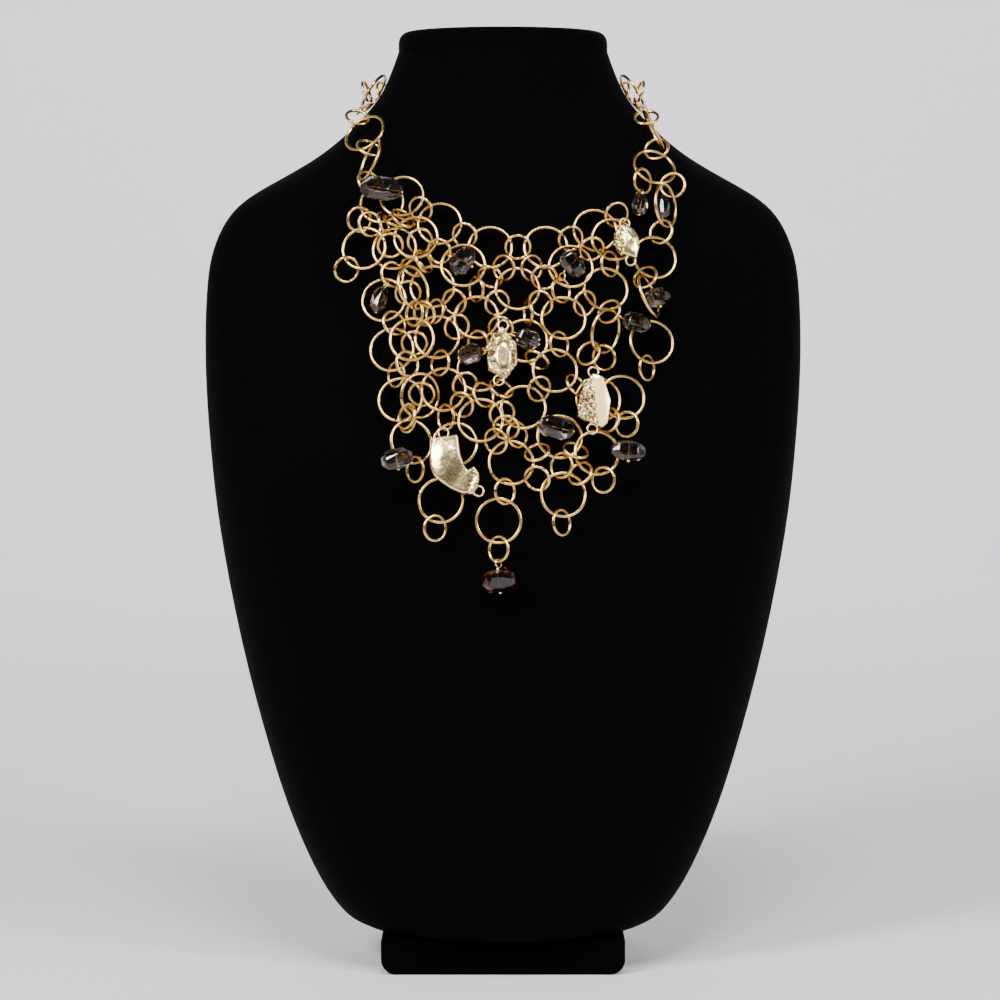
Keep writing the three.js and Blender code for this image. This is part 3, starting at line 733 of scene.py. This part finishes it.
# %% [markdown]
# The copies of one strand are joined into one piece, which stands for that strand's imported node.
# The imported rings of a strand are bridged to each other, to make one solid. Real rings are loose, so
# no bridge is made here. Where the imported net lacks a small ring, its neighbours are left unlinked.

# %% Lay the rings
def lay_copy(template, centre, facing, roll):
    """A copy of the template with its own mesh, laid at the centre and turned to face that way."""
    copy = template.copy()
    copy.data = template.data.copy()
    bpy.context.scene.collection.objects.link(copy)
    turn = facing.to_track_quat("Z", "Y").to_matrix().to_4x4()
    copy.matrix_world = Matrix.Translation(centre) @ turn @ Matrix.Rotation(roll, 4, "Z")
    return copy


def join_pieces(pieces, name):
    """Joins pieces into one, with its place in its mesh."""
    bpy.context.view_layer.update()
    bpy.ops.object.select_all(action="DESELECT")
    for piece in pieces:
        piece.select_set(True)
    bpy.context.view_layer.objects.active = pieces[0]
    if len(pieces) > 1:
        bpy.ops.object.join()
    return settle(bpy.context.view_layer.objects.active, name)


for name, rings in rings_of.items():
    copies = []
    for centre, facing, radius in rings:
        template = big_ring if radius == BIG else small_ring
        copies.append(lay_copy(template, centre, facing, random.uniform(0, 2 * math.pi)))
    own(join_pieces(copies, f"{name}_rings"), name, ring_gold)
for template in (big_ring, small_ring):
    bpy.data.objects.remove(template)


# %% [markdown]
# ## The end links and the clasp
#
# The shoulder chains end in flat oval links, brighter than the rest. A plain clasp closes the chain
# behind the neck. Such a link is a flattened wire bent round two pins: an oval section is spun half
# way round, drawn out straight, spun round again and drawn back to where it began.

# %% Make the oval links
LINK_BAR = 0.0015
CLASP_BAR = 0.0019


def own_axes(node):
    """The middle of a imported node, and its long, middle and short directions with their half sizes."""
    points, _ = merged_points(node)
    loose = points - points.mean(0)
    spread, ways = np.linalg.eigh(loose.T @ loose)
    ways = ways[:, np.argsort(-spread)]
    reach = loose @ ways
    centre = points.mean(0) + ways @ ((reach.max(0) + reach.min(0)) / 2)
    half = (reach.max(0) - reach.min(0)) / 2
    return Vector(centre), [Vector(ways[:, i]) for i in range(3)], half


def oval_link(node, name, bar):
    centre, ways, half = own_axes(node)
    straight = half[0] - half[1]
    bend = half[1] - bar / 2
    bpy.ops.object.select_all(action="DESELECT")
    bpy.ops.mesh.primitive_circle_add(vertices=14, radius=1, location=(straight, -bend, 0),
                                      rotation=(0, math.pi / 2, 0))
    piece = bpy.context.object
    piece.scale = (half[2], bar / 2, 1)
    settle(piece, name)
    edit("EDGE")
    bpy.ops.mesh.spin(steps=14, angle=math.pi, center=(straight, 0, 0), axis=(0, 0, 1))
    bpy.ops.mesh.extrude_region_move(TRANSFORM_OT_translate={"value": (-2 * straight, 0, 0)})
    bpy.ops.mesh.spin(steps=14, angle=math.pi, center=(-straight, 0, 0), axis=(0, 0, 1))
    bpy.ops.mesh.extrude_region_move(TRANSFORM_OT_translate={"value": (2 * straight, 0, 0)})
    bpy.ops.mesh.select_all(action="SELECT")
    bpy.ops.mesh.remove_doubles(threshold=0.00001)
    bpy.ops.mesh.normals_make_consistent(inside=False)
    done()
    bpy.ops.object.shade_smooth()
    turn = Matrix((ways[0], ways[1], ways[0].cross(ways[1]))).transposed().to_4x4()
    piece.matrix_world = Matrix.Translation(centre) @ turn
    return settle(piece, name)


for node, bar in (("end_link_left", LINK_BAR), ("end_link_right", LINK_BAR), ("clasp", CLASP_BAR)):
    own(oval_link(node, f"{node}_oval", bar), node, link_gold)

# %% [markdown]
# ## The nuggets
#
# The four nuggets are lost-wax castings: a flat plate with soft edges, partly pitted where the wax
# was stippled and partly polished smooth, with a wire loop at each end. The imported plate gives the
# outline. Its copy is remeshed finely, eased round, crowned, and pressed in by Displace modifiers
# that vertex groups hold to the right places. The loops stay out of all that.

# %% Prepare a nugget
FINE = 0.00032
BAIL_RADIUS = 0.0024
BAIL_WIRE = 0.0006
PLATE_FRONT = 0.0023
CROWN_HEIGHT = 0.0011
DENT_SIZE, DENT_DEPTH = 0.0042, 0.0011
PIT_SIZE, PIT_DEPTH = 0.0021, 0.0023
STIPPLE_SIZE, STIPPLE_DEPTH = 0.0007, 0.0005
DARKEST_PIT = 0.9


def ease(value, low, high):
    """0 below low, 1 above high, and a smooth step between."""
    t = np.clip((value - low) / (high - low), 0, 1)
    return t * t * (3 - 2 * t)


def nugget_frame(node, bails):
    """The plate's middle and its across, up and outward directions."""
    out = Vector(bails[0][1])
    if out.y > 0:
        out.negate()
    across = Vector((0, 0, 1)).cross(out).normalized()
    up = out.cross(across)
    points = merged_points(node)[0]
    away = np.min([np.linalg.norm(points - np.array(bail[0]), axis=1) for bail in bails], axis=0)
    plate = points[away > BAIL_RADIUS + BAIL_WIRE + 0.0004]
    centre = Vector((plate.max(0) + plate.min(0)) / 2)
    return centre, across, up, out


def local_points(piece, centre, ways):
    """The piece's points along the given directions, in millimetres."""
    flat = np.empty(3 * len(piece.data.vertices))
    piece.data.vertices.foreach_get("co", flat)
    return (flat.reshape(-1, 3) - np.array(centre)) @ np.array(ways).T * 1000


def weigh(piece, name, weights):
    group = piece.vertex_groups.new(name=name)
    for i, weight in enumerate(weights):
        if weight > 0.01:
            group.add([i], float(weight), "REPLACE")


def press(piece, group, kind, size, depth, rest=1.0):
    """Presses a procedural pattern into the points of a vertex group."""
    pattern = bpy.data.textures.new(group, kind)
    pattern.noise_scale = size
    shape = piece.modifiers.new(group, "DISPLACE")
    shape.texture = pattern
    shape.texture_coords = "LOCAL"
    shape.vertex_group = group
    shape.mid_level = rest
    shape.strength = depth
    take(piece)
    bpy.ops.object.modifier_apply(modifier=group)


# %% [markdown]
# Each nugget has its own plan: which part is pitted, which part is dented or flat, and how far it
# is crowned. The rules are small functions of the place on the plate, in millimetres across, up
# and outwards from its middle.

# %% Plan the four nuggets
def left_part(u, v, edge, soft):
    return 1 - ease(u, edge - soft, edge + soft)


def rim_part(u, v, wide, high, inner):
    """1 near the outline of an oval and 0 inside it."""
    return ease(np.hypot(u / wide, v / high), inner, 1)


NUGGETS = {
    "nugget_half_moon": {
        "crown": lambda u, v: 0.7 * (1 - ease(np.hypot((u - 1) / 6, v / 8), 0.2, 1)),
        "pits": lambda u, v: left_part(u, v, -1.8, 1.0) * 0.8,
        "dents": lambda u, v: 0.35 - 0.35 * left_part(u, v, -0.4, 1),
    },
    "nugget_hexagon": {
        "crown": lambda u, v: 1 - ease(np.hypot((u - 0.6) / 5.4, (v + 0.5) / 10), 0.45, 0.95),
        "pits": lambda u, v: rim_part(u - 0.6, v + 0.5, 5.2, 10, 0.62),
        "dents": lambda u, v: 0.16 + 0 * u,
    },
    "nugget_facet": {
        "facet": (0.2, math.radians(13)),
        "brushed": lambda u, v: 1 - left_part(u, v, 0.3, 0.3),
        "crown": lambda u, v: 0.5 * left_part(u, v, 0, 0.6) * (1 - ease(np.abs(u + 3) / 6, 0.1, 1)),
        "pits": lambda u, v: left_part(u, v, 0.3 - 0.12 * v, 0.6),
        "dents": lambda u, v: left_part(u, v, -0.3, 1),
    },
    "nugget_boot": {
        "crown": lambda u, v: 0.9 - 0.9 * ease(np.hypot((u + 4) / 8, (v - 1) / 12), 0.2, 1),
        "pits": lambda u, v: 0.3 * ease(u - v * 0.3, 8, 11),
        "dents": lambda u, v: 0.16 + 0.1 * ease(v, -2, 6),
    },
}


# %% [markdown]
# One function follows a plan. It works on the front only, so that the back stays flat against the
# net, and it notes how far each point sank, for the finish to darken as painted shade.

# %% Make the nuggets
def cut_facet(piece, centre, ways, start, lean):
    """Slices the front off at a slope, from `start` millimetres across to the right-hand edge."""
    across, _, out = ways
    edge = centre + across * start / 1000 + out * PLATE_FRONT
    slope = out * math.cos(lean) + across * math.sin(lean)
    edit("FACE")
    bpy.ops.mesh.bisect(plane_co=edge, plane_no=slope, use_fill=True, clear_outer=True)
    done()


def note_points(piece, name, values):
    """Writes down a value for each point, for the finish to read."""
    note = piece.data.attributes.new(name, "FLOAT", "POINT")
    note.data.foreach_set("value", np.clip(values, 0, 1).astype(np.float32))


def press_fine(piece):
    """Stippling inside the pitted part."""
    group = piece.vertex_groups["pits"]
    group.name = "stipple"
    press(piece, "stipple", "CLOUDS", STIPPLE_SIZE, STIPPLE_DEPTH, 0.5)


def off_the_loops(piece, bails):
    """1 on the plate and 0 on its wire loops, for each point."""
    places = local_points(piece, Vector(), [Vector((1, 0, 0)), Vector((0, 1, 0)), Vector((0, 0, 1))]) / 1000
    away = np.min([np.linalg.norm(places - np.array(bail[0]), axis=1) for bail in bails], axis=0)
    return ease(away, 0.0031, 0.0044)


def nugget(node, plan):
    bails = find_rings(node, BAIL_RADIUS + BAIL_WIRE, 8)
    centre, *ways = nugget_frame(node, bails)
    piece = copy_node(node, f"{node}_cast")
    if "facet" in plan:
        cut_facet(piece, centre, ways, *plan["facet"])
    grain = piece.modifiers.new("grain", "REMESH")
    grain.mode = "VOXEL"
    grain.voxel_size = FINE
    bpy.ops.object.modifier_apply(modifier="grain")
    weigh(piece, "plate", off_the_loops(piece, bails))
    eased = piece.modifiers.new("eased", "SMOOTH")
    eased.factor = 0.5
    eased.iterations = 14
    eased.vertex_group = "plate"
    take(piece)
    bpy.ops.object.modifier_apply(modifier="eased")
    u, v, w = local_points(piece, centre, ways).T
    front = ease(w, 0.2, 1.5) * off_the_loops(piece, bails)
    weigh(piece, "crown", front * plan["crown"](u, v))
    weigh(piece, "pits", front * plan["pits"](u, v))
    weigh(piece, "dents", front * plan["dents"](u, v))
    swell = piece.modifiers.new("crown", "DISPLACE")
    swell.vertex_group = "crown"
    swell.mid_level = 0
    swell.strength = CROWN_HEIGHT
    bpy.ops.object.modifier_apply(modifier="crown")
    before = local_points(piece, centre, ways)
    press(piece, "dents", "CLOUDS", DENT_SIZE, DENT_DEPTH, 0.6)
    middle = local_points(piece, centre, ways)
    press(piece, "pits", "VORONOI", PIT_SIZE, PIT_DEPTH, 0.75)
    press_fine(piece)
    sunk = np.linalg.norm(local_points(piece, centre, ways) - middle, axis=1)
    # how far each point sank, which the finish turns into painted shade in the pits
    note_points(piece, "pressed", sunk / DARKEST_PIT)
    note_points(piece, "brushed", front * plan["brushed"](u, v) if "brushed" in plan else 0 * u)
    take(piece)
    bpy.ops.object.shade_smooth()
    moved = np.linalg.norm(local_points(piece, centre, ways) - before, axis=1).max()
    print(node, "sank by up to", round(float(moved), 2))
    return piece


for node, plan in NUGGETS.items():
    own(nugget(node, plan), node, nugget_gold)


# %% [markdown]
# ## The stones
#
# The beads are tumbled and then faceted by hand, so no two are alike and their flats are of many
# sizes. A packed stone is a rough barrel. Its copy is cut by many planes, each taking off the part
# that sticks out furthest in one direction, and a very small bevel keeps the edges from looking
# drawn with a ruler.

# %% Facet the stones
FACETS = 26
SCATTER = 0.22
CUT_REACH = (0.9, 0.985)
EDGE_WEAR = 0.00012


def spread_directions(count):
    """Directions spread evenly over a sphere, each a little out of place."""
    golden = math.pi * (3 - math.sqrt(5))
    ways = []
    for i in range(count):
        z = 1 - 2 * (i + 0.5) / count
        flat = math.sqrt(1 - z * z)
        way = Vector((flat * math.cos(golden * i), flat * math.sin(golden * i), z))
        ways.append((way + SCATTER * Vector([random.uniform(-1, 1) for _ in range(3)])).normalized())
    return ways


def faceted_stone(node):
    centre, ways, half = own_axes(node)
    piece = copy_node(node, f"{node}_faceted")
    for way in spread_directions(FACETS):
        out = sum((ways[i] * way[i] / float(half[i]) for i in range(3)), Vector()).normalized()
        reach = max((vertex.co - centre).dot(out) for vertex in piece.data.vertices)
        place = centre + out * reach * random.uniform(*CUT_REACH)
        edit("FACE")
        bpy.ops.mesh.bisect(plane_co=place, plane_no=out, use_fill=True, clear_outer=True)
        done()
    edit("FACE")
    bpy.ops.mesh.dissolve_limited(angle_limit=math.radians(2))
    bpy.ops.mesh.select_all(action="SELECT")
    bpy.ops.mesh.normals_make_consistent(inside=False)
    done()
    worn = piece.modifiers.new("worn", "BEVEL")
    worn.width = EDGE_WEAR
    worn.segments = 1
    worn.limit_method = "ANGLE"
    worn.angle_limit = math.radians(12)
    bpy.ops.object.modifier_apply(modifier="worn")
    bpy.ops.object.shade_flat()
    return piece


stone_names = [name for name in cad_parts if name.startswith("stone_")]
for name in stone_names:
    slot, finish = ("amber_stone", amber_stone) if name == "stone_14" else ("smoky_stone", smoky_stone)
    own(faceted_stone(name), name, finish)

# %% [markdown]
# Each stone is drilled and threaded on a head pin: a thin wire with a small ball at one end, turned
# into a loop at the other. The loop closes on the wire of the nearest ring. A stone has four ends at
# which the pin could come out, and the one nearest to a ring is used.

# %% Make the head pins
PIN_WIRE = 0.00036
PIN_LOOP = 0.0019
PIN_HEAD = 0.0008

all_rings = [ring for rings in rings_of.values() for ring in rings]


def nearest_wire(place):
    """The nearest point of any ring's wire, and the wire's direction there."""
    best = None
    for centre, facing, radius in all_rings:
        arm = place - centre
        flat = arm - facing * arm.dot(facing)
        rim = centre + flat.normalized() * radius
        span = (rim - place).length
        if best is None or span < best[0]:
            best = (span, rim, facing.cross(flat).normalized())
    return best


def straight_wire(start, end):
    """A round wire from one place to another, with a small step before each end."""
    way = end - start
    bpy.ops.object.select_all(action="DESELECT")
    bpy.ops.mesh.primitive_cylinder_add(vertices=8, radius=PIN_WIRE, depth=way.length,
                                        location=(start + end) / 2,
                                        rotation=way.to_track_quat("Z", "Y").to_euler())
    piece = bpy.context.object
    edit("FACE")
    bpy.ops.mesh.bevel(offset=PIN_WIRE / 3, segments=1, affect="EDGES")
    done()
    return piece


def head_pin(node):
    centre, ways, half = own_axes(node)
    ends = [centre + ways[i] * float(half[i]) * 0.9 * sign for i in (0, 1) for sign in (-1, 1)]
    end = min(ends, key=lambda place: nearest_wire(place)[0])
    span, rim, along_wire = nearest_wire(end)
    way = (rim - end).normalized()
    inner = PIN_LOOP - PIN_WIRE - WIRE
    loop_centre = rim - way * inner
    facing = (along_wire - way * along_wire.dot(way)).normalized()
    loop = jump_ring("loop", PIN_LOOP, PIN_WIRE, 20, 8, math.radians(8))
    placed_loop = lay_copy(loop, loop_centre, facing, random.uniform(0, 6))
    bpy.data.objects.remove(loop)
    far = centre - (end - centre) * 1.08
    parts = [placed_loop, straight_wire(far, end), straight_wire(end, loop_centre - way * PIN_LOOP)]
    bpy.ops.object.select_all(action="DESELECT")
    bpy.ops.mesh.primitive_uv_sphere_add(segments=12, ring_count=8, radius=PIN_HEAD, location=far)
    head = bpy.context.object
    edit("VERT")
    bpy.ops.transform.resize(value=(1, 0.8, 0.9), center_override=far)
    done()
    parts.append(head)
    pin = join_pieces(parts, f"{node}_pin")
    pin.data.materials.clear()
    pin.data.materials.append(link_gold)
    take(pin)
    bpy.ops.object.shade_smooth_by_angle(angle=math.radians(50))
    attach(pin, "root")
    print(pin.name, "reaches", round(span * 1000, 1), "mm to its ring")


for name in stone_names:
    head_pin(name)
